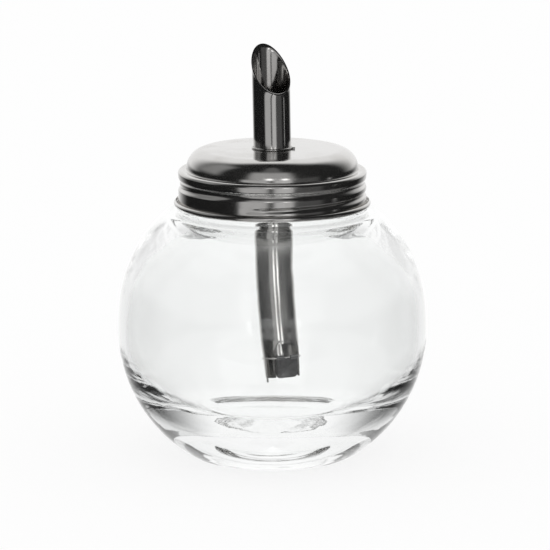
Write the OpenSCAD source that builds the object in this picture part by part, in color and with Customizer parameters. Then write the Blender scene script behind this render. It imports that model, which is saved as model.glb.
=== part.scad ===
// Sugar dispenser: a round glass jar with a rolled steel screw cap, a slanted pouring tube
// and a flap that hangs at the lower end of the tube.
// Millimetres, +Z up. The origin is the middle of the jar's foot, on the table.
// -Y is the front. The pouring mouth and the flap both face the facing angle, right of the front.

/* [Jar] */
// Widest diameter of the glass
jar_d = 104.6; // [95:0.1:115]
// Height of the widest ring above the table
jar_mid_z = 43; // [40:0.1:46]
// Half height of the round outline, if it were not cut by the foot and the neck
jar_half_h = 51.3; // [50:0.1:53]
// Squareness of the outline below the widest ring (2 is an ellipse)
jar_low_square = 2; // [1.9:0.05:2.2]
// Squareness of the outline above the widest ring
jar_high_square = 2.2; // [2.1:0.05:2.4]
// Glass thickness of the side wall
jar_wall = 3; // [2.2:0.1:3.6]
// Glass thickness of the foot, at its middle
jar_floor = 8; // [6:0.1:11]
// Squareness of the inside below the widest ring
floor_square = 2.3; // [2.1:0.05:2.6]
// Radius of the hollow under the foot
punt_r = 24.5; // [20:0.1:26]
// Depth of the hollow under the foot
punt_h = 1.6; // [0.5:0.1:3]
// Radius of the foot's outer corner
heel_r = 1.2; // [0.6:0.1:1.6]
// Height at which the inside meets the bore of the neck, above the shoulder's flat
bore_rise = -3.6; // [-4.5:0.1:1]

/* [Neck] */
// Outer diameter of the neck
neck_d = 60; // [59:0.1:60.4]
// Bore of the neck
neck_bore = 53; // [50:0.1:54]
// Radius at which the shoulder rounds over below the cap
shoulder_r = 36; // [35.4:0.1:37]
// Radius of the shoulder's rounded edge
shoulder_round = 3; // [2:0.1:3.4]
// Outer diameter of the bead below the cap
bead_d = 64; // [63:0.1:64.8]
// Height of the bead
bead_h = 1.7; // [1.2:0.1:1.9]
// Height of the neck above the bead
neck_h = 9.8; // [9.7:0.1:10.5]
// Rounding of the rim and the bead
rim_round = 0.7; // [0.4:0.1:0.8]

/* [Screw thread] */
// Lift of the cap in one turn
thread_pitch = 4; // [3.6:0.1:4.4]
// Turns of thread on the cap
cap_turns = 1; // [0.6:0.05:1]
// Turns of thread on the neck
neck_turns = 1.15; // [0.8:0.05:1.2]
// Where the cap's thread starts, from +X towards +Y
thread_start = -109; // [-180:1:180]
// How far the cap's thread presses in from the skirt
cap_thread_h = 0.65; // [0.5:0.05:0.75]
// How far the neck's thread stands out
neck_thread_h = 0.9; // [0.8:0.05:1]
// Free play between the two threads, along the axis
thread_play = 0.2; // [0.1:0.05:0.4]
// Height of the cap's thread start above the middle of the curl
thread_rise = 2.4; // [2.2:0.1:2.6]
// Half width of the cap's thread at its root
cap_root_half = 1.2; // [0.9:0.05:1.3]
// Half width of the neck's thread at its root
neck_root_half = 1.1; // [0.9:0.05:1.2]
// Half width of both threads at the crest
crest_half = 0.35; // [0.2:0.05:0.5]

/* [Cap] */
// Sheet thickness
sheet_t = 0.4; // [0.3:0.05:0.5]
// Outer diameter of the skirt
skirt_d = 63.2; // [62.8:0.1:63.6]
// Outer diameter of the dome on top
dome_d = 57.8; // [56:0.1:58.4]
// Height of the dome above the ledge's valley
dome_h = 7.1; // [6.9:0.1:8.5]
// Radius of the dome's rounded edge
dome_round = 6.6; // [4:0.1:6.7]
// Bulge of the ledge beyond the skirt
ledge_out = 0.1; // [0:0.05:0.3]
// Radius of the ledge's bead
ledge_r = 1.2; // [0.9:0.05:1.4]
// Height from the ledge's valley to the middle of the groove
groove_drop = 3.9; // [3.6:0.1:4.2]
// Depth of the groove round the skirt
groove_depth = 0.7; // [0.4:0.05:0.8]
// Half height of the groove
groove_half = 1.7; // [1.4:0.1:1.8]
// Height from the ledge's valley to the middle of the curl
curl_drop = 11.1; // [10.8:0.1:11.3]
// Outer radius of the curl's section
curl_r = 0.95; // [0.85:0.05:1]

/* [Sealing ring] */
// Thickness of the sealing ring
seal_t = 2; // [1.6:0.1:2.2]
// Bore of the sealing ring
seal_bore = 52; // [48:0.1:53]
// Gap between the sealing ring and what it lies against
seal_gap = 0.05; // [0.02:0.01:0.1]

/* [Pouring tube] */
// Outer diameter of the tube
tube_d = 12.7; // [11:0.1:14]
// Wall of the tube
tube_wall = 0.5; // [0.4:0.05:0.7]
// Height of the mouth's tip above the cap
tip_rise = 34.2; // [26:0.1:40]
// Height of the mouth's low lip above the cap
lip_rise = 18.3; // [12:0.1:20]
// How far the mouth is scooped below a straight cut
mouth_scoop = 0.5; // [0.2:0.1:3]
// Direction in which the mouth and the flap face, right of the front
facing = 25; // [0:1:60]
// Lean of the tube above its bend, away from the facing direction going up
upper_lean = 2.5; // [0:0.1:3]
// Lean of the tube below its bend, towards the facing direction going down
lower_lean = 11; // [4:0.1:13]
// Depth of the bend below the cap's top
bend_drop = 44.2; // [36:0.1:50]
// Length of the tube below its bend, down to the end sleeve
lower_len = 20.9; // [16:0.1:26]

/* [Tube fittings] */
// Running gap between the tube and the rings on it
ring_gap = 0.05; // [0.02:0.01:0.1]
// Wire diameter of the ring on top of the cap
ring_wire = 0.8; // [0.6:0.05:1.2]
// Length of the ring's loose end
ring_tail = 1.6; // [0.8:0.1:2]
// Direction of the ring's loose end, from +X towards +Y
ring_tail_angle = -20; // [-40:1:60]
// Outer diameter of the collar under the cap
collar_d = 20; // [17:0.1:24]
// Thickness of the collar's flange
collar_t = 1; // [0.8:0.1:1.5]
// Length of the collar's sleeve
collar_sleeve = 4; // [2:0.1:6]
// Wall of the collar's sleeve
collar_wall = 0.8; // [0.6:0.05:1.2]
// Gap between the collar and the underside of the cap
collar_gap = 0.3; // [0.25:0.01:0.4]

/* [End sleeve] */
// Length of the end sleeve below the tube
sleeve_len = 12.7; // [12.5:0.1:15]
// Length of the sleeve's spigot inside the tube
spigot_len = 6; // [3:0.1:8]
// Radial gap between spigot and tube
spigot_gap = 0.05; // [0.02:0.01:0.1]
// Distance from the tube's axis to the cut face at the flap
cut_face = 3.6; // [3.2:0.05:3.65]
// Distance from the tube's axis to the cut face at its top
cut_top = 5.2; // [4.8:0.05:5.5]
// Depth of the groove for the hinge wire
wire_groove = 0.15; // [0.1:0.01:0.2]
// Thickness of the half-moon seat that the flap closes against
seat_t = 0.5; // [0.4:0.05:0.8]
// Distance from the tube's axis to the seat's straight edge
seat_edge = 2; // [1.5:0.1:2.4]

/* [Flap] */
// Width of the flap
flap_w = 8.4; // [7:0.1:8.4]
// Length of the flap below its pin
flap_len = 7.4; // [6.9:0.1:7.6]
// Sheet thickness of the flap
flap_t = 0.5; // [0.3:0.05:0.5]
// Radius of the flap's lower corners
flap_corner = 1.6; // [0.5:0.1:3]
// Distance from the tube's axis to the pin
pin_face = 4.6; // [4.55:0.01:4.7]
// Height of the pin above the sleeve's lower end
pin_up = 6.9; // [6.7:0.1:7.5]
// Diameter of the hinge wire
wire_d = 0.7; // [0.5:0.05:0.75]
// Running gap of the flap on the wire
pin_gap = 0.07; // [0.03:0.01:0.1]
// Outer diameter of the flap's knuckles
knuckle_d = 1.44; // [1.3:0.02:1.46]
// Bare wire between the two knuckles
knuckle_space = 2.4; // [1:0.1:4]
// Length of the wire's bent end
wire_tail = 8.6; // [3:0.1:9.5]
// Direction of the wire's bent end, to the left of the flap
tail_angle = 192; // [150:1:205]

/* [Hidden] */

// Steps along a curved outline
arc_steps = 10;
bowl_steps = 28;
// Steps of a thread in one turn, and steps of its tapered ends
thread_steps = 48;
fade_steps = 3;
// A cut runs this far past what it cuts
past = 1;
// Gap that two curved pieces keep where one moves past the other
clear = 0.3;

jar_r = jar_d / 2;
neck_r = neck_d / 2;
bore_r = neck_bore / 2;
bead_r = bead_d / 2;
tube_r = tube_d / 2;
tube_bore_r = tube_r - tube_wall;

// Heights, from the jar up to the cap
shoulder_z = jar_mid_z + jar_half_h * pow(1 - pow(shoulder_r / jar_r, jar_high_square), 1 / jar_high_square);
shoulder_angle = bowl_normal(shoulder_r, shoulder_z - jar_mid_z, jar_r, jar_half_h, jar_high_square);
shoulder_arc_r = shoulder_r - shoulder_round * cos(shoulder_angle);
valley_z = shoulder_z + shoulder_round * (1 - sin(shoulder_angle));
bead_top_z = valley_z + bead_h;
rim_z = bead_top_z + neck_h;
seal_z = rim_z + seal_gap;
ledge_z = seal_z + seal_t + seal_gap + sheet_t / 2;
cap_top_z = ledge_z + dome_h + sheet_t / 2;
groove_z = ledge_z - groove_drop;
curl_z = ledge_z - curl_drop;

// Radii of the cap's sheet, at the middle of its thickness
wall_r = (skirt_d - sheet_t) / 2;
dome_r = (dome_d - sheet_t) / 2;
bead_sheet_r = ledge_r - sheet_t / 2;
curl_sheet_r = curl_r - sheet_t / 2;
dome_sheet_r = dome_round - sheet_t / 2;
fillet_r = sheet_t * 1.3;

// Places along the tube
bend_z = cap_top_z - bend_drop;
bend_out = bend_drop * tan(upper_lean);
pin_z = -sleeve_len + pin_up;
wire_r = wire_d / 2;
wire_ring_r = tube_r - wire_groove + ring_gap + wire_r;

// Points of an arc about (cr, cz), from angle a0 to a1
function arc(cr, cz, r, a0, a1, steps = arc_steps) =
    [for (i = [0:steps]) let (a = a0 + (a1 - a0) * i / steps) [cr + r * cos(a), cz + r * sin(a)]];

// Angle along a rounded outline at which it has the radius r
function bowl_angle(r, a, square) = acos(pow(r / a, square / 2));

// Points of a rounded outline of half width a and half height b, from angle t0 to t1
function bowl(a, b, square, t0, t1) =
    [for (i = [0:bowl_steps]) let (t = t0 + (t1 - t0) * i / bowl_steps)
        [a * pow(cos(t), 2 / square), jar_mid_z + sign(t) * b * pow(abs(sin(t)), 2 / square)]];

// Direction that a rounded outline faces at radius r and height z above its middle
function bowl_normal(r, z, a, b, square) = atan2(pow(z / b, square - 1) / b, pow(r / a, square - 1) / a);

// Radius of a rounded outline at a height
function bowl_r(z, a, b, square) = a * pow(1 - pow(abs(z - jar_mid_z) / b, square), 1 / square);

// Both sides of a bent sheet that follows a path
function sheet_normal(path, i) =
    let (p = path[max(i - 1, 0)], q = path[min(i + 1, len(path) - 1)], d = q - p) [-d[1], d[0]] / norm(d);
function sheet_side(path, t) = [for (i = [0:len(path) - 1]) path[i] + t * sheet_normal(path, i)];
function reversed(points) = [for (i = [len(points) - 1:-1:0]) points[i]];
function sheet_outline(path, t) = concat(sheet_side(path, t / 2), reversed(sheet_side(path, -t / 2)));

// Outer outline of the glass, from the middle of the foot up to the rim
foot_r = bowl_r(0, jar_r, jar_half_h, jar_low_square);
heel_z = heel_r * 1.5;
heel_out_r = bowl_r(heel_z, jar_r, jar_half_h, jar_low_square);
heel_angle = bowl_normal(heel_out_r, jar_mid_z - heel_z, jar_r, jar_half_h, jar_low_square);
jar_outside = concat(
    [for (i = [0:arc_steps]) let (r = punt_r * i / arc_steps) [r, punt_h * (1 - pow(r / punt_r, 2))]],
    arc(foot_r - heel_r * 0.6, heel_r, heel_r, -90, -heel_angle),
    bowl(jar_r, jar_half_h, jar_low_square, -bowl_angle(heel_out_r, jar_r, jar_low_square), 0),
    bowl(jar_r, jar_half_h, jar_high_square, 1, bowl_angle(shoulder_r, jar_r, jar_high_square)),
    arc(shoulder_arc_r, valley_z - shoulder_round, shoulder_round, shoulder_angle, 90),
    [[bead_r, valley_z + rim_round * 0.5]],
    arc(bead_r - rim_round, bead_top_z - rim_round, rim_round, 0, 90),
    arc(neck_r + rim_round, bead_top_z + rim_round, rim_round, 270, 180),
    arc(neck_r - rim_round, rim_z - rim_round, rim_round, 0, 90));

// Inner outline of the glass, from the rim down to the middle of the floor
inner_r = jar_r - jar_wall;
bore_foot_z = valley_z + bore_rise - jar_mid_z;
inner_high = bore_foot_z / pow(1 - pow(bore_r / inner_r, jar_high_square), 1 / jar_high_square);
jar_inside = concat(
    arc(bore_r + rim_round, rim_z - rim_round, rim_round, 90, 180),
    reversed(bowl(inner_r, inner_high, jar_high_square, 1, bowl_angle(bore_r, inner_r, jar_high_square))),
    reversed(bowl(inner_r, jar_mid_z - jar_floor, floor_square, -90, 0)));

// Path of the cap's sheet, from the middle of the top down to the end of the curl
dome_top_z = cap_top_z - sheet_t / 2;
ledge_edge_r = wall_r + ledge_out;
groove_path = [for (i = [-arc_steps:arc_steps])
    let (z = groove_half * i / arc_steps, dip = groove_depth * (1 + cos(180 * i / arc_steps)) / 2)
        [wall_r - dip, groove_z - z]];
cap_path = concat(
    [[0, dome_top_z]],
    arc(dome_r - dome_sheet_r, dome_top_z - dome_sheet_r, dome_sheet_r, 90, 0),
    arc(dome_r + fillet_r, ledge_z + fillet_r, fillet_r, 180, 270, 5),
    arc(ledge_edge_r - bead_sheet_r, ledge_z - bead_sheet_r, bead_sheet_r, 90, 0),
    groove_path,
    arc(wall_r + curl_sheet_r, curl_z, curl_sheet_r, 180, 430, 20));

// Thread as one closed ridge: it stands from root_r to crest_r and tapers off at both ends
module thread(root_r, crest_r, root_half, crest_half, z0, start, turns) {
    steps = round(thread_steps * turns);
    points = [for (i = [0:steps])
        let (a = start + 360 * turns * i / steps,
             z = z0 + thread_pitch * turns * i / steps,
             k = max(0.05, min(1, i / fade_steps, (steps - i) / fade_steps)),
             r = root_r + (crest_r - root_r) * k)
        each [[root_r * cos(a), root_r * sin(a), z - root_half], [r * cos(a), r * sin(a), z - crest_half],
              [r * cos(a), r * sin(a), z + crest_half], [root_r * cos(a), root_r * sin(a), z + root_half]]];
    outward = crest_r > root_r;
    sides = [for (i = [0:steps - 1]) for (j = [0:3])
        let (a = 4 * i + j, b = 4 * i + (j + 1) % 4, c = b + 4, d = a + 4)
        each outward ? [[a, b, c], [a, c, d]] : [[c, b, a], [d, c, a]]];
    last = 4 * steps;
    ends = outward ? [[3, 2, 1, 0], [last, last + 1, last + 2, last + 3]]
                   : [[0, 1, 2, 3], [last + 3, last + 2, last + 1, last]];
    polyhedron(points = points, faces = concat(sides, ends), convexity = 6);
}

// The cap's thread lies just under the neck's thread, along the same helix
cap_thread_z = curl_z + thread_rise;
thread_offset = neck_root_half + thread_play;
neck_thread_start = thread_start + 180 - 360 * neck_turns;
neck_thread_z = cap_thread_z + thread_offset + thread_pitch * (0.5 - neck_turns);

module glass_jar() {
    color("lightcyan", 0.35)
        union() {
            rotate_extrude($fn = 160) polygon(concat(jar_outside, jar_inside));
            thread(neck_r - neck_thread_h / 2, neck_r + neck_thread_h, neck_root_half, crest_half,
                   neck_thread_z, neck_thread_start, neck_turns);
        }
}

module sealing_ring() {
    color("whitesmoke")
        translate([0, 0, seal_z])
            difference() {
                cylinder(r = neck_r + clear, h = seal_t, $fn = 120);
                translate([0, 0, -past]) cylinder(d = seal_bore, h = seal_t + 2 * past, $fn = 120);
            }
}

// In every frame of the tube -Y is the facing direction, and the tube bends about X.
// Frame of the tube above its bend: the origin lies on the cap's top
module on_upper_tube() {
    translate([0, 0, cap_top_z]) rotate([0, 0, facing]) rotate([-upper_lean, 0, 0]) children();
}

// Frame of the bend, turned by a share of the way from the upright to the tube
module on_bend(lean) {
    rotate([0, 0, facing]) translate([0, -bend_out, bend_z]) rotate([-lean, 0, 0]) children();
}

// Frame of the end sleeve: the origin lies on the tube's end
module on_sleeve() {
    on_bend(lower_lean) translate([0, 0, -lower_len]) children();
}

// Frame of the flap: the origin lies on the pin, which runs along X
module on_pin() {
    on_sleeve() translate([0, -pin_face, pin_z]) children();
}

module cap_shell() {
    color("silver")
        difference() {
            union() {
                difference() {
                    rotate_extrude($fn = 160) polygon(sheet_outline(cap_path, sheet_t));
                    thread(wall_r + sheet_t, wall_r + sheet_t / 2 - cap_thread_h, cap_root_half, crest_half,
                           cap_thread_z, thread_start, cap_turns);
                }
                thread(wall_r - sheet_t * 0.1, wall_r - sheet_t / 2 - cap_thread_h, cap_root_half, crest_half,
                       cap_thread_z, thread_start, cap_turns);
            }
            on_upper_tube() translate([0, 0, -dome_h])
                cylinder(r = tube_r + ring_gap, h = dome_h + past, $fn = 64);
        }
}

// Body that removes everything above the scooped mouth
module mouth_cut() {
    rise = tip_rise - lip_rise;
    chord = norm([tube_d, rise]);
    scoop_r = chord * chord / (8 * mouth_scoop) + mouth_scoop / 2;
    mid = [0, 0, (tip_rise + lip_rise) / 2];
    tilt = atan(rise / tube_d);
    translate(mid)
        rotate([tilt, 0, 0])
            translate([0, 0, scoop_r - mouth_scoop])
                rotate([0, 90, 0])
                    cylinder(r = scoop_r, h = 2 * tube_d, center = true, $fn = 160);
}

// One straight leg of the tube, from z0 to z1 in its own frame
module leg(z0, z1) {
    difference() {
        translate([0, 0, z0]) cylinder(r = tube_r, h = z1 - z0, $fn = 96);
        translate([0, 0, z0 - past]) cylinder(r = tube_bore_r, h = z1 - z0 + 2 * past, $fn = 96);
    }
}

// Everything on one side of the plane that halves the bend
module mitre_side(above) {
    reach = 4 * jar_r;
    translate([-reach, -reach, above ? 0 : -reach]) cube([2 * reach, 2 * reach, reach]);
}

module pouring_tube() {
    upper_len = bend_drop / cos(upper_lean);
    half_bend = (lower_lean - upper_lean) / 2;
    color("silver")
        on_bend((upper_lean + lower_lean) / 2)
            union() {
                intersection() {
                    rotate([half_bend, 0, 0]) difference() {
                        leg(-past, upper_len + tip_rise + past);
                        translate([0, 0, upper_len]) mouth_cut();
                    }
                    mitre_side(true);
                }
                intersection() {
                    rotate([-half_bend, 0, 0]) leg(-lower_len, past);
                    mitre_side(false);
                }
            }
}

module tube_ring() {
    centre_r = tube_r + ring_gap + ring_wire / 2;
    color("gray")
        rotate([0, 0, facing])
            translate([0, tan(upper_lean) * ring_wire / 2, cap_top_z + ring_wire / 2]) {
                rotate_extrude($fn = 96) translate([centre_r, 0]) circle(d = ring_wire, $fn = 24);
                rotate([0, 0, ring_tail_angle - facing])
                    translate([centre_r, 0, 0])
                        rotate([0, 90, 0])
                            cylinder(d = ring_wire * 0.9, h = ring_tail, $fn = 24);
            }
}

// The collar's flange lies level under the cap, and its sleeve leans with the tube
module tube_collar() {
    collar_top = cap_top_z - sheet_t - collar_gap;
    color("silver")
        difference() {
            union() {
                translate([0, 0, collar_top - collar_t]) cylinder(d = collar_d, h = collar_t, $fn = 96);
                on_upper_tube() translate([0, 0, -collar_t - collar_sleeve])
                    cylinder(r = tube_r + ring_gap + collar_wall, h = collar_sleeve, $fn = 96);
            }
            on_upper_tube() translate([0, 0, -collar_t - collar_sleeve - past])
                cylinder(r = tube_r + ring_gap, h = collar_t + collar_sleeve + 2 * past, $fn = 96);
        }
}

// Body that opens the sleeve towards the flap: slanted above the pin, upright beside the flap
module flap_opening() {
    wide = 2 * tube_d;
    rotate([90, 0, -90])
        linear_extrude(height = wide, center = true)
            polygon([[cut_top, past], [cut_top, 0], [cut_face, pin_z + knuckle_d], [cut_face, -sleeve_len - past],
                     [tube_d, -sleeve_len - past], [tube_d, past]]);
}

module end_sleeve() {
    spigot_r = tube_bore_r - spigot_gap;
    seat_top = pin_z - clear;
    color("silver")
        on_sleeve()
            union() {
                difference() {
                    union() {
                        translate([0, 0, -sleeve_len]) cylinder(r = tube_r, h = sleeve_len, $fn = 96);
                        translate([0, 0, -past / 2]) cylinder(r = spigot_r, h = spigot_len + past / 2, $fn = 96);
                    }
                    translate([0, 0, -sleeve_len - past]) cylinder(r = tube_bore_r, h = sleeve_len, $fn = 96);
                    translate([0, 0, -sleeve_len])
                        cylinder(r = spigot_r - tube_wall, h = sleeve_len + spigot_len + past, $fn = 96);
                    translate([0, 0, pin_z - wire_r])
                        difference() {
                            cylinder(r = tube_r + past, h = wire_d, $fn = 96);
                            translate([0, 0, -past])
                                cylinder(r = tube_r - wire_groove, h = wire_d + 2 * past, $fn = 96);
                        }
                    intersection() {
                        flap_opening();
                        translate([0, 0, -sleeve_len - past]) cylinder(r = tube_d, h = sleeve_len + past, $fn = 96);
                    }
                }
                intersection() {
                    translate([0, 0, seat_top - seat_t]) cylinder(r = tube_r - tube_wall / 2, h = seat_t, $fn = 96);
                    translate([-tube_d, seat_edge, seat_top - seat_t - past])
                        cube([2 * tube_d, tube_d, seat_t + 2 * past]);
                }
            }
}

module hinge_wire() {
    half_pin = sqrt(wire_ring_r * wire_ring_r - pin_face * pin_face);
    open = atan(half_pin / pin_face);
    color("gray")
        on_sleeve()
            translate([0, 0, pin_z]) {
                rotate([0, 0, -90 + open])
                    rotate_extrude(angle = 360 - 2 * open, $fn = 96)
                        translate([wire_ring_r, 0]) circle(r = wire_r * 0.97, $fn = 24);
                translate([0, -pin_face, 0]) rotate([0, 90, 0])
                    cylinder(r = wire_r, h = 2 * half_pin + wire_d * 1.1, center = true, $fn = 24);
                rotate([0, 0, tail_angle])
                    translate([tube_r + ring_gap + wire_r, 0, -wire_tail])
                        cylinder(r = wire_r * 0.95, h = wire_tail + wire_r / 2, $fn = 24);
            }
}

// The flap hangs straight down from its pin
module flap() {
    color("dimgray")
        on_pin()
            rotate([lower_lean, 0, 0])
                difference() {
                    union() {
                        for (side = [-1, 1])
                            translate([side * (flap_w + knuckle_space) / 4, 0, 0]) rotate([0, 90, 0])
                                cylinder(d = knuckle_d, h = (flap_w - knuckle_space) / 2, center = true, $fn = 32);
                        difference() {
                            translate([-flap_w / 2, -flap_t / 2, -flap_len]) cube([flap_w, flap_t, flap_len]);
                            translate([-knuckle_space / 2, -flap_t, -knuckle_d])
                                cube([knuckle_space, 2 * flap_t, 2 * knuckle_d]);
                            for (side = [-1, 1])
                                translate([side * (flap_w / 2 - flap_corner), 0, -flap_len + flap_corner])
                                    mirror([side < 0 ? 1 : 0, 0, 0])
                                        difference() {
                                            translate([0, -past, -flap_corner - past])
                                                cube([flap_corner + past, 2 * past, flap_corner + past]);
                                            rotate([90, 0, 0])
                                                cylinder(r = flap_corner, h = 3 * past, center = true, $fn = 48);
                                        }
                        }
                    }
                    rotate([0, 90, 0]) cylinder(r = wire_r + pin_gap, h = 2 * flap_w, center = true, $fn = 32);
                }
}

glass_jar();
sealing_ring();
cap_shell();
pouring_tube();
tube_ring();
tube_collar();
end_sleeve();
hinge_wire();
flap();
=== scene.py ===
# A glass sugar dispenser with a steel screw cap, a slanted pouring tube and a small flap.
# Lengths are in millimetres until a mesh is made; +Z is up and -Y faces the camera.
import math

import bmesh
import bpy
from mathutils import Matrix, Vector


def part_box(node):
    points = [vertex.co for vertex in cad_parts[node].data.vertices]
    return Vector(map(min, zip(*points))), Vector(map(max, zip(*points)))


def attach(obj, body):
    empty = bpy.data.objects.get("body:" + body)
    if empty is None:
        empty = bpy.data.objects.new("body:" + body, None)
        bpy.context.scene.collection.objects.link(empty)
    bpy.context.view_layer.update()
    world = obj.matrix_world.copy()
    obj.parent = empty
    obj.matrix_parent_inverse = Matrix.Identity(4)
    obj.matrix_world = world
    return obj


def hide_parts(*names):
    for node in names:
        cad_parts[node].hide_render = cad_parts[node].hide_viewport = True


mm = 0.001
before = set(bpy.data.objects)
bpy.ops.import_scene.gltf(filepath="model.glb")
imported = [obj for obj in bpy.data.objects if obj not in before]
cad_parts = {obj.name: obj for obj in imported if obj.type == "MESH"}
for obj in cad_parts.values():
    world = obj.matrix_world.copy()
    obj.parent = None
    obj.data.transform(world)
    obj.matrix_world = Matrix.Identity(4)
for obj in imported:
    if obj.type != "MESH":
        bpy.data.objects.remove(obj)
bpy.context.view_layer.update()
print("frame loaded:", ", ".join(sorted(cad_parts)))


def boxOf(node):
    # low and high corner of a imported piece, in millimetres
    low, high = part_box(node)
    return low / mm, high / mm


# ---- node helpers


class Link:
    # one output socket; arithmetic written on it adds Math nodes
    def __init__(self, graph, socket):
        self.graph = graph
        self.socket = socket

    def math(self, operation, *others, clamp=False):
        settings = {"operation": operation, "use_clamp": clamp}
        sockets = dict(enumerate((self,) + others))
        return self.graph.add("ShaderNodeMath", settings, sockets)

    def __add__(self, other):
        return self.math("ADD", other)

    def __sub__(self, other):
        return self.math("SUBTRACT", other)

    def __mul__(self, other):
        return self.math("MULTIPLY", other)

    def __truediv__(self, other):
        return self.math("DIVIDE", other)

    def __pow__(self, other):
        return self.math("POWER", other)

    def __radd__(self, other):
        return self + other

    def __rmul__(self, other):
        return self * other

    def __rsub__(self, other):
        return self * -1 + other

    def __rtruediv__(self, other):
        return self.math("POWER", -1) * other

    def __neg__(self):
        return self * -1

    def clamp(self):
        return self.math("ADD", 0, clamp=True)

    def smooth(self, low, high):
        # 0 below low, 1 above high, eased in between
        sockets = {"Value": self, "From Min": low, "From Max": high}
        return self.graph.add("ShaderNodeMapRange", {"interpolation_type": "SMOOTHSTEP"}, sockets)

    def near(self, middle, reach, soft):
        # 1 within reach of the middle, eased to 0 over soft
        away = (self - middle).math("ABSOLUTE")
        return 1 - away.smooth(reach - soft / 2, reach + soft / 2)


class Graph:
    # a node tree, and the one method that adds nodes to it
    def __init__(self, tree):
        self.tree = tree
        tree.nodes.clear()

    def add(self, kind, settings=None, sockets=None, out=0):
        node = self.tree.nodes.new(kind)
        for name, value in (settings or {}).items():
            setattr(node, name, value)
        for key, value in (sockets or {}).items():
            if isinstance(value, Link):
                self.tree.links.new(value.socket, node.inputs[key])
            else:
                node.inputs[key].default_value = value
        return Link(self, node.outputs[out]) if node.outputs else node

    def parts(self, vector):
        # x, y and z of a vector
        x = self.add("ShaderNodeSeparateXYZ", sockets={0: vector})
        return x, Link(self, x.socket.node.outputs[1]), Link(self, x.socket.node.outputs[2])

    def mix(self, share, first, second):
        # a colour between two colours
        settings = {"data_type": "RGBA", "clamp_factor": True}
        return self.add("ShaderNodeMix", settings, {0: share, 6: first, 7: second}, out=2)


def grey(level, tint=(1, 1, 1)):
    return (level * tint[0], level * tint[1], level * tint[2], 1)


# ---- mesh helpers


def arc(centre, radius, start, end, steps):
    # points of an arc in a section, angles in degrees
    points = []
    for i in range(steps + 1):
        a = math.radians(start + (end - start) * i / steps)
        points.append((centre[0] + radius * math.cos(a), centre[1] + radius * math.sin(a)))
    return points


def line(start, end, steps):
    # points between two points of a section, without the ends
    points = []
    for i in range(1, steps):
        t = i / steps
        points.append((start[0] + (end[0] - start[0]) * t, start[1] + (end[1] - start[1]) * t))
    return points


def makeObject(name, points, faces, crease=40):
    # an object in the frame's place, with smooth faces and sharp edges past the crease angle
    mesh = bpy.data.meshes.new(name)
    mesh.from_pydata([Vector(p) * mm for p in points], [], faces)
    tidyMesh(mesh)
    mesh.set_sharp_from_angle(angle=math.radians(crease))
    made = bpy.data.objects.new(name, mesh)
    bpy.context.scene.collection.objects.link(made)
    return made


def tidyMesh(mesh):
    work = bmesh.new()
    work.from_mesh(mesh)
    bmesh.ops.remove_doubles(work, verts=work.verts, dist=0.001 * mm)
    bmesh.ops.recalc_face_normals(work, faces=work.faces)
    for face in work.faces:
        face.smooth = True
    work.to_mesh(mesh)
    work.free()


def loft(rings, closedRound=True, closedAlong=True):
    # points and faces of rings of equal length, joined one to the next
    count = len(rings[0])
    points = [p for ring in rings for p in ring]
    faces = []
    for i in range(len(rings) if closedAlong else len(rings) - 1):
        for j in range(count if closedRound else count - 1):
            a, b = i * count, ((i + 1) % len(rings)) * count
            k = (j + 1) % count
            faces.append((a + j, a + k, b + k, b + j))
    return points, faces


def revolve(name, outline, angles, crease=40):
    # spins a closed section round the Z axis; points on the axis merge into a pole
    rings = []
    for r, z in outline:
        rings.append([(r * math.cos(a), r * math.sin(a), z) for a in angles])
    points, faces = loft(rings)
    return makeObject(name, points, faces, crease)


def evenAngles(count):
    # angles round a turn
    return [2 * math.pi * i / count for i in range(count)]


# ---- camera, floor and light

# The photograph's view: its distance, height and lens were found from the cap's and foot's ellipses
view = {"distance": 1100, "elevation": 11.82, "lookAt": (0.91, 0, 60.73), "lens": 213.0}


def makeCamera():
    lens = bpy.data.cameras.new("camera")
    lens.lens = view["lens"]
    lens.sensor_width = 36
    lens.clip_start = 0.01
    lens.clip_end = 20
    camera = bpy.data.objects.new("camera", lens)
    up = math.radians(view["elevation"])
    back = Vector((0, -math.cos(up), math.sin(up))) * view["distance"]
    camera.location = (Vector(view["lookAt"]) + back) * mm
    camera.rotation_euler = (math.pi / 2 - up, 0, 0)
    bpy.context.scene.collection.objects.link(camera)
    bpy.context.scene.camera = camera


makeCamera()
bpy.context.scene.view_settings.view_transform = "Standard"

# the thick foot passes light on by many inner reflections, and goes black if they are cut short
light = bpy.context.scene.cycles
light.max_bounces = light.glossy_bounces = light.transmission_bounces = 40

floor = {"halfWidth": 900, "front": -700, "back": 2400, "white": 0.93, "glow": 0.86}


def makeFloor():
    # white paper that the camera sees; mirrors and glass look past it, at the studio
    w, near, far = floor["halfWidth"], floor["front"], floor["back"]
    corners = [(-w, near, 0), (w, near, 0), (w, far, 0), (-w, far, 0)]
    made = makeObject("floorSheet", corners, [(0, 1, 2, 3)])
    if made.data.polygons[0].normal.z < 0:
        made.data.flip_normals()
    material = bpy.data.materials.new("whitePaper")
    material.use_nodes = True
    g = Graph(material.node_tree)
    camera = g.add("ShaderNodeLightPath", out="Is Camera Ray")
    glossy = Link(g, camera.socket.node.outputs["Is Glossy Ray"])
    through = Link(g, camera.socket.node.outputs["Is Transmission Ray"])
    paper = g.add("ShaderNodeBsdfDiffuse", sockets={"Color": grey(floor["white"])})
    glow = g.add("ShaderNodeEmission", sockets={"Color": grey(1.0), "Strength": 1.0})
    seen = g.add("ShaderNodeMixShader", sockets={0: camera * floor["glow"], 1: paper, 2: glow})
    clear = g.add("ShaderNodeBsdfTransparent")
    mixed = g.add("ShaderNodeMixShader", sockets={0: glossy.math("MAXIMUM", through), 1: seen, 2: clear})
    g.add("ShaderNodeOutputMaterial", sockets={"Surface": mixed})
    made.data.materials.append(material)


makeFloor()

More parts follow.
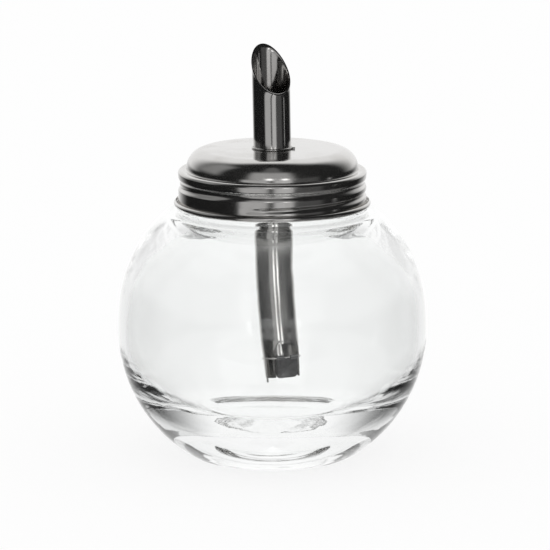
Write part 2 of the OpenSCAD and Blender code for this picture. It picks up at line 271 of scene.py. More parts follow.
# What the steel mirrors and the glass bends into view. Each panel has a level, a middle azimuth from
# the front towards +X with its reach, and its lowest and highest elevation, in degrees.
studio = {
    "dark": 0.012,
    "back": {"mirrored": 150, "seen": 130, "soft": 24, "horizon": 4, "top": 66, "topSoft": 10},
    "seenAbove": {"level": 0.85, "low": 8, "high": 22},
    "seenBelow": {"level": -50, "soft": 6},
    "panels": [
        {"level": 0.4, "azimuth": -2, "reach": 30, "low": 2, "high": 46, "soft": 14},
        {"level": 0.12, "azimuth": 0, "reach": 16, "low": 46, "high": 80, "soft": 10},
        {"level": 0.5, "azimuth": -23, "reach": 18, "low": -40, "high": 2, "soft": 8},
        {"level": 0.58, "azimuth": 14, "reach": 12, "low": -40, "high": 2, "soft": 6},
        {"level": 0.07, "azimuth": 44, "reach": 20, "low": -22, "high": 10, "soft": 10},
        {"level": 0.14, "azimuth": 70, "reach": 40, "low": -60, "high": -22, "soft": 8},
        {"level": 0.45, "azimuth": 82, "reach": 2, "low": -10, "high": -3, "soft": 2},
        {"level": 0.28, "azimuth": -96, "reach": 18, "low": 10, "high": 58, "soft": 18},
    ],
    "lamps": [
        {"level": 2, "azimuth": -4, "elevation": 8, "size": 4.5},
        {"level": 2, "azimuth": 17, "elevation": 8, "size": 4.5},
    ],
    "lampSoft": 0.4,
}


def makeWorld():
    world = bpy.data.worlds.new("studio")
    world.use_nodes = True
    bpy.context.scene.world = world
    g = Graph(world.node_tree)
    path = g.add("ShaderNodeLightPath", out="Is Glossy Ray")
    through = Link(g, path.socket.node.outputs["Is Transmission Ray"])
    direction = g.add("ShaderNodeTexCoord", out="Generated")
    x, y, z = g.parts(direction)
    degree = 180 / math.pi
    azimuth = x.math("ARCTAN2", -y) * degree
    elevation = z.math("ARCSINE") * degree

    back = studio["back"]
    # steel finds the light back of the studio from the mirrored azimuth on, below the horizon;
    # glass and all that looks above the horizon find it from the seen one on
    wider = back["seen"] - back["mirrored"]
    raised = elevation.smooth(-back["horizon"], back["horizon"])
    edge = through * wider * (1 - raised) + back["mirrored"] + wider * raised
    behind = (azimuth.math("ABSOLUTE") - edge).smooth(-back["soft"], back["soft"])
    lit = behind * (1 - elevation.smooth(back["top"] - back["topSoft"], back["top"] + back["topSoft"]))
    for panel in studio["panels"]:
        middle, half = (panel["low"] + panel["high"]) / 2, (panel["high"] - panel["low"]) / 2
        patch = azimuth.near(panel["azimuth"], panel["reach"], panel["soft"])
        lit = lit + patch * elevation.near(middle, half, panel["soft"]) * panel["level"]
    for lamp in studio["lamps"]:
        away = ((azimuth - lamp["azimuth"]) ** 2 + (elevation - lamp["elevation"]) ** 2) ** 0.5
        near, far = (lamp["size"] * (1 + side * studio["lampSoft"]) for side in (-1, 1))
        lit = lit + (1 - away.smooth(near, far)) * lamp["level"]
    lit = lit + studio["dark"]
    above = studio["seenAbove"]
    above = elevation.smooth(above["low"], above["high"]) * above["level"]
    below = studio["seenBelow"]
    below = 1 - elevation.smooth(below["level"] - below["soft"], below["level"] + below["soft"])
    lit = lit.math("MAXIMUM", above.math("MAXIMUM", below) * through)

    level = 1 + (lit - 1) * path.math("MAXIMUM", through)
    sky = g.add("ShaderNodeBackground", sockets={"Color": grey(1.0), "Strength": level})
    g.add("ShaderNodeOutputWorld", sockets={"Surface": sky})


makeWorld()
print("camera, floor and light made")


# ---- materials


def newMaterial(name):
    material = bpy.data.materials.new(name)
    material.use_nodes = True
    return material, Graph(material.node_tree)


def closeMaterial(g, sockets):
    shader = g.add("ShaderNodeBsdfPrincipled", sockets=sockets)
    g.add("ShaderNodeOutputMaterial", sockets={"Surface": shader})


def place(g, scale=(1, 1, 1)):
    # the object's own coordinates in millimetres, stretched
    coordinates = g.add("ShaderNodeTexCoord", out="Object")
    settings = {"vector_type": "POINT"}
    wide = tuple(s / mm for s in scale)
    return g.add("ShaderNodeMapping", settings, {"Vector": coordinates, "Scale": wide})


def noise(g, vector, scale, detail=2.0, rough=0.5):
    sockets = {"Vector": vector, "Scale": scale, "Detail": detail, "Roughness": rough}
    return g.add("ShaderNodeTexNoise", sockets=sockets)


def polishedSteel(name, shade, rough, stretch, lines, waves):
    # mirror-finish sheet: fine rolling or spinning lines, soft dents and faint smears
    material, g = newMaterial(name)
    grain = noise(g, place(g, stretch), lines["scale"], 3.0, 0.6)
    smear = noise(g, place(g), 0.09, 3.0)
    dents = noise(g, place(g), waves["scale"], 1.5)
    specks = noise(g, place(g), 3.1, 2.0).smooth(0.68, 0.78)
    height = grain * lines["height"] + dents * waves["height"]
    bump = g.add("ShaderNodeBump", sockets={"Height": height * mm, "Strength": 1.0, "Distance": 1.0})
    roughness = rough + (grain - 0.5) * 0.05 + smear.smooth(0.5, 0.75) * 0.05 + specks * 0.1
    tint = g.mix(smear.smooth(0.4, 0.7), grey(shade, (1, 0.985, 0.965)), grey(shade * 0.9, (1, 0.98, 0.95)))
    sockets = {"Base Color": tint, "Metallic": 1.0, "Roughness": roughness, "Normal": bump}
    closeMaterial(g, sockets)
    return material


def clearGlass():
    # pressed soda glass: almost colourless, with a slow waviness from the mould
    material, g = newMaterial("clearGlass")
    slow = noise(g, place(g, (1, 1, 0.45)), 0.055, 2.0)
    fine = noise(g, place(g), 0.4, 2.0)
    height = slow * 0.25 + fine * 0.006
    bump = g.add("ShaderNodeBump", sockets={"Height": height * mm, "Strength": 0.6, "Distance": 1.0})
    sockets = {
        "Base Color": grey(1.0, (0.985, 0.992, 0.989)),
        "Roughness": 0.0,
        "IOR": 1.5,
        "Transmission Weight": 1.0,
        "Normal": bump,
    }
    closeMaterial(g, sockets)
    return material


def softSeal():
    # off-white silicone with a fine moulded grain
    material, g = newMaterial("softSeal")
    fine = noise(g, place(g), 2.5, 3.0)
    bump = g.add("ShaderNodeBump", sockets={"Height": fine * 0.02 * mm, "Strength": 0.6, "Distance": 1.0})
    shade = g.mix(fine, grey(0.78, (1, 0.99, 0.96)), grey(0.86, (1, 0.99, 0.97)))
    closeMaterial(g, {"Base Color": shade, "Roughness": 0.55 + fine * 0.1, "Normal": bump})
    return material


def satinSteel(name, shade, rough):
    # cut sheet with a rolled grain and darker cloudy patches
    material, g = newMaterial(name)
    grain = noise(g, place(g, (1, 1, 0.08)), 6.0, 3.0)
    cloud = noise(g, place(g), 0.5, 3.0)
    bump = g.add("ShaderNodeBump", sockets={"Height": grain * 0.004 * mm, "Strength": 0.8, "Distance": 1.0})
    tint = g.mix(cloud.smooth(0.35, 0.7), grey(shade, (1, 1, 1.01)), grey(shade * 0.75, (1, 1, 1.02)))
    roughness = rough + (grain - 0.5) * 0.15 + (cloud - 0.5) * 0.1
    closeMaterial(g, {"Base Color": tint, "Metallic": 1.0, "Roughness": roughness, "Normal": bump})
    return material


# each steel: its shade and roughness, how its lines are stretched, and its lines' and dents' sizes
steels = {
    "spunSteel": {
        "shade": 0.66,
        "rough": 0.15,
        "stretch": (1, 1, 1),
        "lines": {"scale": 1.4, "height": 0.0006},
        "waves": {"scale": 0.07, "height": 0.03},
    },
    "drawnSteel": {
        "shade": 0.64,
        "rough": 0.12,
        "stretch": (1, 1, 0.04),
        "lines": {"scale": 3.0, "height": 0.0012},
        "waves": {"scale": 0.12, "height": 0.02},
    },
    "wireSteel": {
        "shade": 0.6,
        "rough": 0.14,
        "stretch": (1, 1, 1),
        "lines": {"scale": 3.0, "height": 0.001},
        "waves": {"scale": 0.5, "height": 0.01},
    },
}
glassMaterial = clearGlass()
capMaterial, tubeMaterial, wireMaterial = (polishedSteel(name, **look) for name, look in steels.items())
# The flap's steel colour is set very dark, 0.17: painted shade for the shadow inside the tube's lower end,
# around the flap.
flapPaintedShadeMaterial = satinSteel("flapSteelPaintedShade", 0.17, 0.32)
sealMaterial = softSeal()
print("materials made")


def dress(made, material, body, slot, *nodes):
    # gives a piece its finish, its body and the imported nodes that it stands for
    made.data.materials.clear()
    made.data.materials.append(material)
    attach(made, body)
    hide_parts(*nodes)
    return made


# ---- geometry nodes


def startTree(name, inputs):
    # a geometry tree with named inputs; gives the graph and a link for each input
    tree = bpy.data.node_groups.new(name, "GeometryNodeTree")
    g = Graph(tree)
    face = tree.interface
    face.new_socket("Geometry", in_out="INPUT", socket_type="NodeSocketGeometry")
    for label, kind in inputs.items():
        face.new_socket(label, in_out="INPUT", socket_type="NodeSocket" + kind)
    face.new_socket("Geometry", in_out="OUTPUT", socket_type="NodeSocketGeometry")
    entry = g.add("NodeGroupInput", out="Geometry")
    links = {label: Link(g, entry.socket.node.outputs[label]) for label in ["Geometry", *inputs]}
    return g, links


def endTree(g, geometry, material):
    real = g.add("GeometryNodeRealizeInstances", sockets={0: geometry})
    painted = g.add("GeometryNodeSetMaterial", sockets={"Geometry": real, "Material": material})
    g.add("NodeGroupOutput", sockets={"Geometry": painted})


def runTree(made, g, values):
    # applies a geometry tree to an object, and leaves a plain mesh
    modifier = made.modifiers.new("shape", "NODES")
    modifier.node_group = g.tree
    for item in g.tree.interface.items_tree:
        if item.item_type == "SOCKET" and item.in_out == "INPUT" and item.name in values:
            modifier[item.identifier] = values[item.name]
    scene = bpy.context.evaluated_depsgraph_get()
    mesh = bpy.data.meshes.new_from_object(made.evaluated_get(scene))
    if made.type == "MESH":
        made.modifiers.remove(modifier)
        made.data = mesh
        return made
    name = made.name
    bpy.data.objects.remove(made)
    solid = bpy.data.objects.new(name, mesh)
    bpy.context.scene.collection.objects.link(solid)
    return solid


def threadTree():
    # moves a wall in or out along a screw line that fades at both ends
    inputs = {
        "Lead": "Float",
        "Lowest": "Float",
        "Start": "Float",
        "Turns": "Float",
        "Height": "Float",
        "Half width": "Float",
        "Fade": "Float",
        "Inner radius": "Float",
        "Material": "Material",
    }
    g, links = startTree("threadPress", inputs)
    position = g.add("GeometryNodeInputPosition")
    x, y, z = g.parts(position)
    radius = (x * x + y * y) ** 0.5
    turn = ((y.math("ARCTAN2", x) - links["Start"]) / (2 * math.pi)).math("FRACT")
    turn = (turn + 1).math("FRACT")
    lap = ((z - links["Lowest"]) / links["Lead"] - turn).math("ROUND").math("MAXIMUM", 0)
    along = turn + lap
    away = (z - links["Lowest"] - along * links["Lead"]) / links["Half width"]
    crest = (away.math("ABSOLUTE").math("MINIMUM", 1) * math.pi).math("COSINE") * 0.5 + 0.5
    rise = (along / links["Fade"]).clamp()
    fall = ((links["Turns"] - along) / links["Fade"]).clamp()
    outer = radius.math("GREATER_THAN", links["Inner radius"])
    push = crest * rise * fall * links["Height"] * outer / radius
    offset = g.add("ShaderNodeCombineXYZ", sockets={0: x * push, 1: y * push})
    moved = g.add("GeometryNodeSetPosition", sockets={"Geometry": links["Geometry"], "Offset": offset})
    endTree(g, moved, links["Material"])
    return g


def sweepTree():
    # a round wire along a curve
    g, links = startTree("wireSweep", {"Radius": "Float", "Sides": "Int", "Material": "Material"})
    sockets = {"Resolution": links["Sides"], "Radius": links["Radius"]}
    ring = g.add("GeometryNodeCurvePrimitiveCircle", sockets=sockets)
    sockets = {"Curve": links["Geometry"], "Profile Curve": ring, "Fill Caps": True}
    swept = g.add("GeometryNodeCurveToMesh", sockets=sockets)
    smooth = g.add("GeometryNodeSetShadeSmooth", sockets={0: swept})
    endTree(g, smooth, links["Material"])
    return g


threadPress = threadTree()
wireSweep = sweepTree()


def pressThread(made, thread, lowest, start, inside, material):
    # presses a thread into a wall; lengths in millimetres, its start in degrees
    values = dict(thread)
    for name in ("Lead", "Height", "Half width"):
        values[name] = thread[name] * mm
    values["Lowest"] = lowest * mm
    values["Start"] = math.radians(start)
    values["Inner radius"] = inside * mm
    values["Material"] = material
    return runTree(made, threadPress, values)


def makeWire(name, paths, radius, material):
    # paths are (points, closed) pairs
    data = bpy.data.curves.new(name, "CURVE")
    data.dimensions = "3D"
    for points, closed in paths:
        spline = data.splines.new("POLY")
        spline.points.add(len(points) - 1)
        for target, point in zip(spline.points, points):
            target.co = (*(Vector(point) * mm), 1)
        spline.use_cyclic_u = closed
    made = bpy.data.objects.new(name, data)
    bpy.context.scene.collection.objects.link(made)
    made = runTree(made, wireSweep, {"Radius": radius * mm, "Sides": 16, "Material": material})
    tidyMesh(made.data)
    made.data.set_sharp_from_angle(angle=math.radians(50))
    return made


# ---- jar

jarHigh = boxOf("glass_jar")[1]
jar = {
    "radius": jarHigh.x,
    "rim": jarHigh.z,
    "middle": 43,
    "half": 51.3,
    "lowSquare": 2,
    "highSquare": 2.2,
    "wall": 3,
    "base": 8,
    "baseSquare": 2.3,
    "puntRadius": 24.5,
    "puntHeight": 1.6,
    "heel": 1.2,
    "heelLift": 1.5,
    "heelInset": 0.6,
    "neckRadius": 30,
    "boreRadius": 26.5,
    "boreRise": -3.6,
    "boreRound": 1.6,
    "shoulderRadius": 36,
    "shoulderRound": 3,
    "beadRadius": 32,
    "beadHeight": 1.7,
    "neckHeight": 9.8,
    "rimRound": 0.7,
    "segments": 240,
}
jarThread = {"Lead": 4, "Turns": 1.15, "Height": 0.9, "Half width": 1.15, "Fade": 0.06}
jarThreadPlace = {"start": 17, "aboveBead": 2.1, "within": 1}


def bowl(a, b, square, start, end, steps=30):
    # part of a rounded outline of half width a and half height b, angles in degrees
    points = []
    for i in range(steps + 1):
        t = math.radians(start + (end - start) * i / steps)
        lift = math.copysign(b * abs(math.sin(t)) ** (2 / square), t)
        points.append((a * math.cos(t) ** (2 / square), jar["middle"] + lift))
    return points


def bowlAngle(r, a, square):
    return math.degrees(math.acos((r / a) ** (square / 2)))


def bowlRadius(z, a, b, square):
    return a * (1 - (abs(z - jar["middle"]) / b) ** square) ** (1 / square)


def bowlNormal(r, z, a, b, square):
    # direction that a rounded outline faces at radius r and height z, in degrees
    return math.degrees(math.atan2((z / b) ** (square - 1) / b, (r / a) ** (square - 1) / a))


def jarOutline():
    r, half, heel, edge = jar["radius"], jar["half"], jar["heel"], jar["rimRound"]
    low, high = jar["lowSquare"], jar["highSquare"]
    foot = bowlRadius(0, r, half, low)
    heelRadius = bowlRadius(heel * jar["heelLift"], r, half, low)
    heelFaces = bowlNormal(heelRadius, jar["middle"] - heel * jar["heelLift"], r, half, low)
    beadTop = jar["rim"] - jar["neckHeight"]
    valley = beadTop - jar["beadHeight"]
    soft = jar["shoulderRound"]
    corner = jar["shoulderRadius"]
    shoulder = half * (1 - (corner / r) ** high) ** (1 / high)
    faces = bowlNormal(corner, shoulder, r, half, high)
    outside, steps = [], 12
    for i in range(steps + 1):
        t = jar["puntRadius"] * i / steps
        outside.append((t, jar["puntHeight"] * (1 - (i / steps) ** 2)))
    outside += arc((foot - heel * jar["heelInset"], heel), heel, -90, -heelFaces, 8)
    outside += bowl(r, half, low, -bowlAngle(heelRadius, r, low), 0)
    outside += bowl(r, half, high, 1, bowlAngle(corner, r, high))
    outside += arc((corner - soft * math.cos(math.radians(faces)), valley - soft), soft, faces, 90, 10)
    outside += [(jar["beadRadius"], valley + edge * 0.5)]
    outside += arc((jar["beadRadius"] - edge, beadTop - edge), edge, 0, 90, 8)
    outside += arc((jar["neckRadius"] + edge, beadTop + edge), edge, 270, 180, 8)
    top = jar["rim"] - edge
    outside += line((jar["neckRadius"], beadTop + edge), (jar["neckRadius"], top), 44)
    outside += arc((jar["neckRadius"] - edge, top), edge, 0, 90, 8)
    inner = r - jar["wall"]
    boreFoot = valley + jar["boreRise"] - jar["middle"]
    innerHigh = boreFoot / (1 - (jar["boreRadius"] / inner) ** high) ** (1 / high)
    inside = arc((jar["boreRadius"] + edge, top), edge, 90, 180, 8)
    vault = bowl(inner, innerHigh, high, bowlAngle(jar["boreRadius"], inner, high), 1, 60)
    # the corner between bore and vault is eased with a curve through its two ends
    boreCorner, reach = Vector(vault[0]), jar["boreRound"]
    vault = [Vector(p) for p in vault if (Vector(p) - boreCorner).length > reach]
    first, last = boreCorner + Vector((0, reach)), vault[0]
    for i in range(9):
        t = i / 8
        inside.append(tuple(first * (1 - t) ** 2 + boreCorner * 2 * t * (1 - t) + last * t * t))
    inside += [tuple(p) for p in vault[1:]]
    inside += bowl(inner, jar["middle"] - jar["base"], jar["baseSquare"], 0, -90)
    return outside + inside


def makeJar():
    made = revolve("jarGlass", jarOutline(), evenAngles(jar["segments"]), crease=50)
    lowest = jar["rim"] - jar["neckHeight"] + jarThreadPlace["aboveBead"]
    inside = jar["neckRadius"] - jarThreadPlace["within"]
    made = pressThread(made, jarThread, lowest, jarThreadPlace["start"], inside, glassMaterial)
    return dress(made, glassMaterial, "jar", "glass", "glass_jar")


makeJar()
print("jar made")

# ---- cap

capHigh = boxOf("cap_shell")[1]
cap = {
    "top": capHigh.z,
    "sheet": 0.4,
    "skirt": 31.6,
    "dome": 28.9,
    "domeHeight": 7.1,
    "domeRound": 6.6,
    "crown": 0.12,
    "ledgeOut": 0.1,
    "ledgeRound": 1.2,
    "grooveDrop": 3.9,
    "grooveDepth": 0.7,
    "grooveHalf": 1.7,
    "curlDrop": 11.1,
    "curl": 0.95,
    "hole": 6.42,
    "fillet": 1.3,
    "segments": 240,
}
capThread = {"Lead": 4, "Turns": 1, "Height": -0.65, "Half width": 1.25, "Fade": 0.06}
capThreadPlace = {"start": -109, "aboveCurl": 2.4, "within": 1.5}


def sheetOutline(path, thickness):
    # both sides of a bent sheet that follows a path
    upper, lower = [], []
    for i, point in enumerate(path):
        p, q = Vector(path[max(i - 1, 0)]), Vector(path[min(i + 1, len(path) - 1)])
        along = (q - p).normalized()
        normal = Vector((-along.y, along.x)) * thickness / 2
        upper.append(tuple(Vector(point) + normal))
        lower.append(tuple(Vector(point) - normal))
    return upper + lower[::-1]


def makeCap():
    t = cap["sheet"]
    top = cap["top"] - t / 2
    ledge = top - cap["domeHeight"]
    wall, dome = cap["skirt"] - t / 2, cap["dome"] - t / 2
    roundDome, roundLedge, curl = cap["domeRound"] - t / 2, cap["ledgeRound"] - t / 2, cap["curl"] - t / 2
    fillet = t * cap["fillet"]
    flat = dome - roundDome
    path = []
    for i in range(12):
        r = cap["hole"] + (flat - cap["hole"]) * i / 12
        path.append((r, top - cap["crown"] * (r / flat) ** 2))
    path += arc((flat, top - cap["crown"] - roundDome), roundDome, 90, 0, 20)
    path += arc((dome + fillet, ledge + fillet), fillet, 180, 270, 6)
    path += arc((wall + cap["ledgeOut"] - roundLedge, ledge - roundLedge), roundLedge, 90, 0, 10)
    groove, steps = ledge - cap["grooveDrop"], 14
    for i in range(-steps, steps + 1):
        dip = cap["grooveDepth"] * (1 + math.cos(math.pi * i / steps)) / 2
        path.append((wall - dip, groove - cap["grooveHalf"] * i / steps))
    curlZ = ledge - cap["curlDrop"]
    path += line((wall, groove - cap["grooveHalf"]), (wall, curlZ), 28)
    path += arc((wall + curl, curlZ), curl, 180, 430, 22)
    made = revolve("capSheet", sheetOutline(path, t), evenAngles(cap["segments"]), crease=60)
    lowest, inside = curlZ + capThreadPlace["aboveCurl"], wall - capThreadPlace["within"]
    made = pressThread(made, capThread, lowest, capThreadPlace["start"], inside, capMaterial)
    return dress(made, capMaterial, "cap", "polished_steel", "cap_shell")


makeCap()
print("cap made")

# ---- pouring tube

tube = {
    "radius": 6.35,
    "wall": 0.5,
    "tip": 34.6,
    "lip": 18.3,
    "scoop": 0.5,
    "flare": 0.12,
    "flareReach": 0.9,
    "crest": 0.1,
    "facing": 25,
    "upperLean": 2.5,
    "lowerLean": 11,
    "bendDrop": 44.2,
    "bendRadius": 150,
    "lowerLength": 20.9,
    "edge": 0.05,
    "segments": 160,
}
capTop = cap["top"]
upperLean, lowerLean = math.radians(tube["upperLean"]), math.radians(tube["lowerLean"])

# In the tube's frames -Y is the way that the mouth and the flap face, and the tube bends about X
facing = Matrix.Rotation(math.radians(tube["facing"]), 4, "Z")
bendPoint = Vector((0, -tube["bendDrop"] * math.tan(upperLean), capTop - tube["bendDrop"]))


def leaned(point, lean):
    return facing @ Matrix.Translation(point) @ Matrix.Rotation(-lean, 4, "X")


upperFrame = leaned((0, 0, capTop), upperLean)
sleeveFrame = leaned(bendPoint, lowerLean) @ Matrix.Translation((0, 0, -tube["lowerLength"]))


def mouthHeight(angle, radius):
    # height of the slanted mouth above the cap, on the tube's own axis
    towards = -math.sin(angle) * radius / tube["radius"]
    rise = tube["tip"] - tube["lip"]
    slope = math.atan(rise / (2 * tube["radius"]))
    sag = tube["scoop"] / math.cos(slope) * (1 - towards * towards)
    return (tube["tip"] + tube["lip"]) / 2 - rise / 2 * towards - sag


def tubeStations(reach):
    # frames along the axis, from the lower end up through the bend
    lower = leaned(bendPoint, lowerLean)
    heights = [-tube["lowerLength"] + tube["edge"] * i for i in (0, 0.3, 1)]
    heights += [heights[2] + (-reach - heights[2]) * i / 12 for i in range(1, 13)]
    stations = [lower @ Matrix.Translation((0, 0, h)) for h in heights]
    bend = tube["bendRadius"]
    centre = bendPoint + Vector((0, math.sin(upperLean), math.cos(upperLean))) * reach
    centre += Vector((0, -math.cos(upperLean), math.sin(upperLean))) * bend
    for i in range(1, 20):
        a = lowerLean + (upperLean - lowerLean) * i / 20
        stations.append(leaned(centre + Vector((0, math.cos(a), -math.sin(a))) * bend, a))
    return stations


def tubeWall(radius, flare, edge):
    # rings of one side of the wall, from the lower end up to the slanted mouth
    reach = tube["bendRadius"] * math.tan((lowerLean - upperLean) / 2)
    angles = evenAngles(tube["segments"])
    rings = []
    for i, station in enumerate(tubeStations(reach)):
        r = radius - edge * (1, 0.3, 0)[min(i, 2)]
        rings.append([station @ Vector((r * math.cos(a), r * math.sin(a), 0)) for a in angles])
    start = -tube["bendDrop"] / math.cos(upperLean) + reach
    shares = [i / 30 for i in range(31)] + [0.99, 0.995, 1]
    for share in sorted(set(shares)):
        ring = []
        for a in angles:
            top = mouthHeight(a, radius)
            h = start + (top - start) * share
            wide = radius + flare * max(0, 1 - (top - h) / tube["flareReach"]) ** 2
            ring.append(upperFrame @ Vector((wide * math.cos(a), wide * math.sin(a), h)))
        rings.append(ring)
    return rings


def makeTube():
    outer = tubeWall(tube["radius"], tube["flare"], tube["edge"])
    inner = tubeWall(tube["radius"] - tube["wall"], tube["flare"], 0)
    crest = [(p + q) / 2 + Vector((0, 0, tube["crest"])) for p, q in zip(outer[-1], inner[-1])]
    points, faces = loft(outer + [crest] + inner[::-1])
    made = makeObject("tubeSteel", points, faces, crease=50)
    return dress(made, tubeMaterial, "cap", "polished_steel", "pouring_tube")


makeTube()
print("pouring tube made")

# ---- rings on the tube

lidRing = {"wire": 0.3, "gap": 0.05, "tail": 1, "tailAngle": -20, "bend": 0.9, "split": 2.2}
collar = {"radius": 10, "flange": 1, "sleeve": 4, "wall": 0.8, "drop": 0.7, "round": 0.25, "segments": 120}


def makeLidRing():
    # a split ring of wire: it goes once round the tube, and its end bends away
    r = tube["radius"] + lidRing["gap"] + lidRing["wire"]
    z = capTop + lidRing["wire"]
    start = math.radians(lidRing["tailAngle"])
    points = []
    turns, bend = 2 * math.pi - lidRing["split"] * lidRing["wire"] / r, lidRing["bend"]
    for i in range(97):
        a = start + turns * (i / 96 - 1)
        points.append((r * math.cos(a), r * math.sin(a), z))
    last, ahead = Vector(points[-1]), start + math.pi / 2
    for i in range(1, 9):
        turned = ahead - math.pi / 2 * i / 8
        step = Vector((math.cos(turned), math.sin(turned), 0.02)) * (bend * math.pi / 16)
        last = last + step
        points.append(tuple(last))
    outward = Vector((math.cos(start), math.sin(start), 0.05))
    points.append(tuple(last + outward * (lidRing["tail"] - bend)))
    middle = facing @ Vector((0, math.tan(upperLean) * lidRing["wire"], 0))
    points = [tuple(Vector(p) + middle) for p in points]
    made = makeWire("lidRing", [(points, False)], lidRing["wire"], wireMaterial)
    return dress(made, wireMaterial, "cap", "steel_wire", "tube_ring")


def makeCollar():
    # a level flange under the cap, on a sleeve that leans with the tube
    inner, outer = tube["radius"] + lidRing["gap"], collar["radius"]
    sleeve, soft = inner + collar["wall"], collar["round"]
    top, under = -collar["drop"], -collar["drop"] - collar["flange"]
    end = under - collar["sleeve"]
    outline = arc((outer - soft, top - soft), soft, 90, 0, 5)
    outline += arc((outer - soft, under + soft), soft, 0, -90, 5)
    level = len(outline)
    outline += arc((sleeve + soft, under - soft), soft, 90, 180, 5)
    outline += arc((sleeve - soft, end + soft), soft, 0, -90, 5)
    outline += [(inner, end), (inner, top)]
    rings = []
    for i, (r, h) in enumerate(outline):
        ring = []
        for a in evenAngles(collar["segments"]):
            point = upperFrame @ Vector((r * math.cos(a), r * math.sin(a), h))
            if i < level:
                point = facing @ Vector((r * math.cos(a), r * math.sin(a), capTop + h))
            elif h == top or i == level:
                point.z = capTop + h
            ring.append(point)
        rings.append(ring)
    made = makeObject("tubeCollar", *loft(rings))
    return dress(made, capMaterial, "cap", "polished_steel", "tube_collar")


makeLidRing()
makeCollar()

sealLow, sealHigh = boxOf("sealing_ring")
seal = {"bore": 26, "round": 0.35, "segments": 160}


def makeSeal():
    inner, outer, soft = seal["bore"], sealHigh.x, seal["round"]
    low, high = sealLow.z, sealHigh.z
    outline = arc((outer - soft, high - soft), soft, 90, 0, 5)
    outline += arc((outer - soft, low + soft), soft, 0, -90, 5)
    outline += arc((inner + soft, low + soft), soft, 270, 180, 5)
    outline += arc((inner + soft, high - soft), soft, 180, 90, 5)
    made = revolve("sealRing", outline, evenAngles(seal["segments"]))
    return dress(made, sealMaterial, "seal", "seal", "sealing_ring")


makeSeal()
print("rings made")

# ---- end of the tube: sleeve, hinge wire and flap

sleeve = {
    "length": 12.7,
    "spigot": 6,
    "spigotGap": 0.05,
    "spigotLap": 0.5,
    "cutFace": 3.6,
    "cutTop": 5.2,
    "wireGroove": 0.15,
    "seatThickness": 0.5,
    "seatDrop": 0.3,
    "seatEdge": 2,
    "taper": 0.08,
    "segments": 120,
}
pin = {"face": 4.6, "height": -5.8, "wire": 0.3, "gap": 0.12, "tail": 8.6, "tailAngle": 192}
flap = {
    "width": 7.8,
    "length": 7.4,
    "sheet": 0.5,
    "corner": 1.6,
    "soft": 0.08,
    "knuckle": 0.72,
    "knuckleLap": 0.6,
    "space": 2.4,
}


def inSleeve(point):
    return sleeveFrame @ Vector(point)


def cutAt(z):
    # distance from the axis to the cut face, at a height in the sleeve
    low = pin["height"] + 2 * flap["knuckle"]
    if z <= low:
        return sleeve["cutFace"]
    return sleeve["cutFace"] + (sleeve["cutTop"] - sleeve["cutFace"]) * (z - low) / -low


def narrowed(z):
    # the sleeve draws in a little towards its lower end
    return 1 + sleeve["taper"] * min(0, z) / sleeve["length"]


def sleeveRing(z, radius, dent=0):
    # an open ring round the back of the sleeve, between the two edges of the window
    count, r = sleeve["segments"], (radius - dent) * narrowed(z)
    half = math.acos(min(1, cutAt(z) / r))
    points = []
    for i in range(count + 1):
        a = -math.pi / 2 + half + (2 * math.pi - 2 * half) * i / count
        points.append(inSleeve((r * math.cos(a), r * math.sin(a), z)))
    return points


def makeSleeve():
    outer, inner = tube["radius"], tube["radius"] - tube["wall"]
    spigot = inner - sleeve["spigotGap"]
    heights = [-sleeve["length"] * (1 - i / 40) for i in range(41)]
    heights += [pin["height"] + pin["wire"] * (i / 4 - 1) for i in range(9)]
    heights = sorted(set(round(h, 3) for h in heights))
    outside, inside = [], []
    for z in heights:
        away = abs(z - pin["height"]) / pin["wire"]
        dent = sleeve["wireGroove"] * math.sqrt(max(0, 1 - away * away))
        outside.append(sleeveRing(z, outer, dent))
        inside.append(sleeveRing(z, inner))
    loopRings = [o + i[::-1] for o, i in zip(outside, inside)]
    points, faces = loft(loopRings, closedAlong=False)
    count = len(loopRings[0])
    half = count // 2
    for start in (0, (len(loopRings) - 1) * count):
        for j in range(half - 1):
            a, b = start + j, start + count - 1 - j
            faces.append((a, a + 1, b - 1, b))
    shell = makeObject("endSleeve", points, faces, crease=50)
    lap, bore = -sleeve["spigotLap"], spigot - tube["wall"]
    neck = [(spigot, lap), (spigot, sleeve["spigot"]), (bore, sleeve["spigot"]), (bore, lap)]
    inlet = revolve("sleeveSpigot", neck, evenAngles(sleeve["segments"]))
    inlet.data.transform(Matrix.Scale(mm, 4) @ sleeveFrame @ Matrix.Scale(1 / mm, 4))
    seatTop = pin["height"] - sleeve["seatDrop"]
    seatLow = seatTop - sleeve["seatThickness"]
    inner *= narrowed(seatLow)
    reach = math.acos(sleeve["seatEdge"] / inner)
    moon = []
    for i in range(41):
        a = math.pi / 2 - reach + 2 * reach * i / 40
        moon.append((inner * math.cos(a), inner * math.sin(a)))
    rings = [[inSleeve((x, y, z)) for x, y in moon] for z in (seatLow, seatTop)]
    points, faces = loft(rings, closedAlong=False)
    faces += [tuple(range(41)), tuple(range(41, 82))]
    seat = makeObject("sleeveSeat", points, faces)
    dress(shell, tubeMaterial, "cap", "polished_steel", "end_sleeve")
    for extra in (inlet, seat):
        dress(extra, tubeMaterial, "cap", "polished_steel")
    return shell


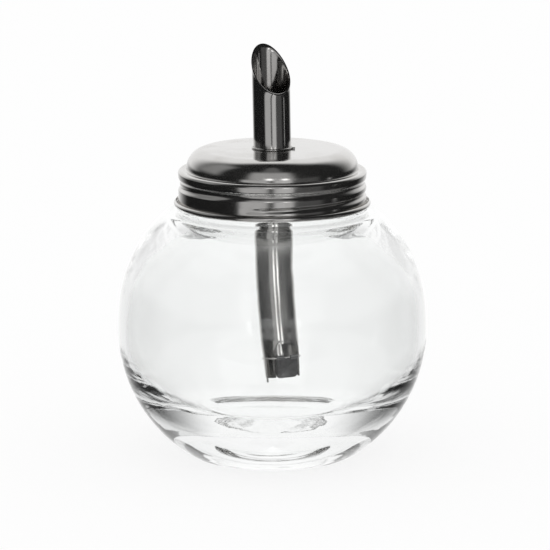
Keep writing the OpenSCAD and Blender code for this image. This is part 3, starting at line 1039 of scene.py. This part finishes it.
def makeHingeWire():
    r = (tube["radius"] - sleeve["wireGroove"]) * narrowed(pin["height"]) + lidRing["gap"] + pin["wire"]
    halfPin = math.sqrt(r * r - pin["face"] ** 2)
    opening = math.atan2(halfPin, pin["face"])
    ring = []
    for i in range(81):
        a = -math.pi / 2 + opening + (2 * math.pi - 2 * opening) * i / 80
        ring.append(inSleeve((r * math.cos(a), r * math.sin(a), pin["height"])))
    for i in range(1, 8):
        ring.append(inSleeve((-halfPin + 2 * halfPin * i / 8, -pin["face"], pin["height"])))
    side = math.radians(pin["tailAngle"])
    tail = []
    reach = tube["radius"] * narrowed(pin["height"]) + lidRing["gap"] + pin["wire"]
    for i in range(9):
        z = pin["height"] - pin["tail"] * i / 8
        tail.append(inSleeve((reach * math.cos(side), reach * math.sin(side), z)))
    made = makeWire("hingeWire", [(ring, True), (tail, False)], pin["wire"], wireMaterial)
    return dress(made, wireMaterial, "cap", "steel_wire", "hinge_wire")


def makeFlap():
    # it hangs straight down from the pin
    place = sleeveFrame @ Matrix.Translation((0, -pin["face"], pin["height"]))
    place = place @ Matrix.Rotation(lowerLean, 4, "X")
    half, length, corner, t = flap["width"] / 2, flap["length"], flap["corner"], flap["sheet"] / 2
    top = -flap["knuckle"] * flap["knuckleLap"]
    outline = [(-half, top), (half, top)]
    outline += arc((half - corner, -length + corner), corner, 0, -90, 8)
    outline += arc((-half + corner, -length + corner), corner, -90, -180, 8)
    soft = flap["soft"]
    rings = []
    for y, inset in ((-t, soft), (-t + soft, 0), (t - soft, 0), (t, soft)):
        shrink = 1 - inset / half
        rings.append([(x * shrink, y, z + inset * (0.5 if z > -length / 2 else 1)) for x, z in outline])
    points, faces = loft([[place @ Vector(p) for p in ring] for ring in rings], closedAlong=False)
    count = len(outline)
    faces += [tuple(range(count)), tuple(range(3 * count, 4 * count))]
    bore, knuckle = pin["wire"] + pin["gap"], flap["knuckle"]
    span = (flap["width"] - flap["space"]) / 2
    for side in (-1, 1):
        middle = side * (flap["width"] + flap["space"]) / 4
        section = []
        for end, r in ((-1, bore), (-1, knuckle), (1, knuckle), (1, bore)):
            x = middle + end * span / 2
            section.append([place @ Vector((x, r * math.cos(a), r * math.sin(a))) for a in evenAngles(32)])
        more, moreFaces = loft(section)
        faces += [tuple(k + len(points) for k in face) for face in moreFaces]
        points += more
    made = makeObject("flapPlate", points, faces, crease=40)
    return dress(made, flapPaintedShadeMaterial, "flap", "flap_steel", "flap")


makeSleeve()
makeHingeWire()
makeFlap()
print("sleeve, hinge wire and flap made")
